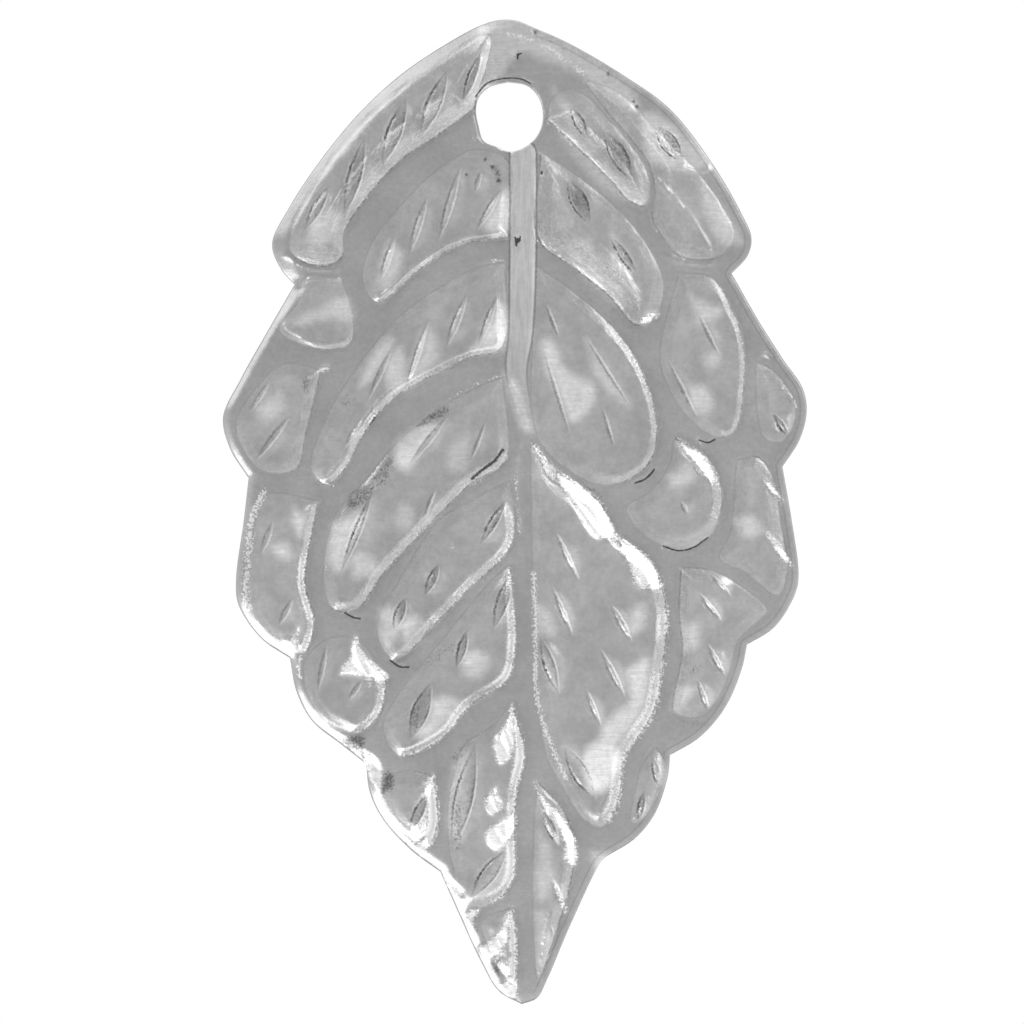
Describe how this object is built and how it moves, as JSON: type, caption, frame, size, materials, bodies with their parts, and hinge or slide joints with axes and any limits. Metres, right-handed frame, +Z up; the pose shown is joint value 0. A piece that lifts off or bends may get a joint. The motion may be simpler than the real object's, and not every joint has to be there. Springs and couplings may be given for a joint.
{
  "type": "leaf charm",
  "caption": "Leaf-shaped stamped sheet-metal charm with a lobed edge, overlapping embossed leaflets and a round hanging hole near the top.",
  "frame": {"origin": "centre of the hanging hole, at half the sheet's thickness", "axes": "+Z up along the leaf from its tip to its hole, front towards -Y, +X to the right as the front is seen"},
  "size_m": [0.013, 0.0006, 0.0219],
  "materials": {
    "silver_plate": "polished silver-tone plating with fine die marks"
  },
  "bodies": {
    "root": {"stamped_leaf": "silver_plate"}
  },
  "joints": []
}
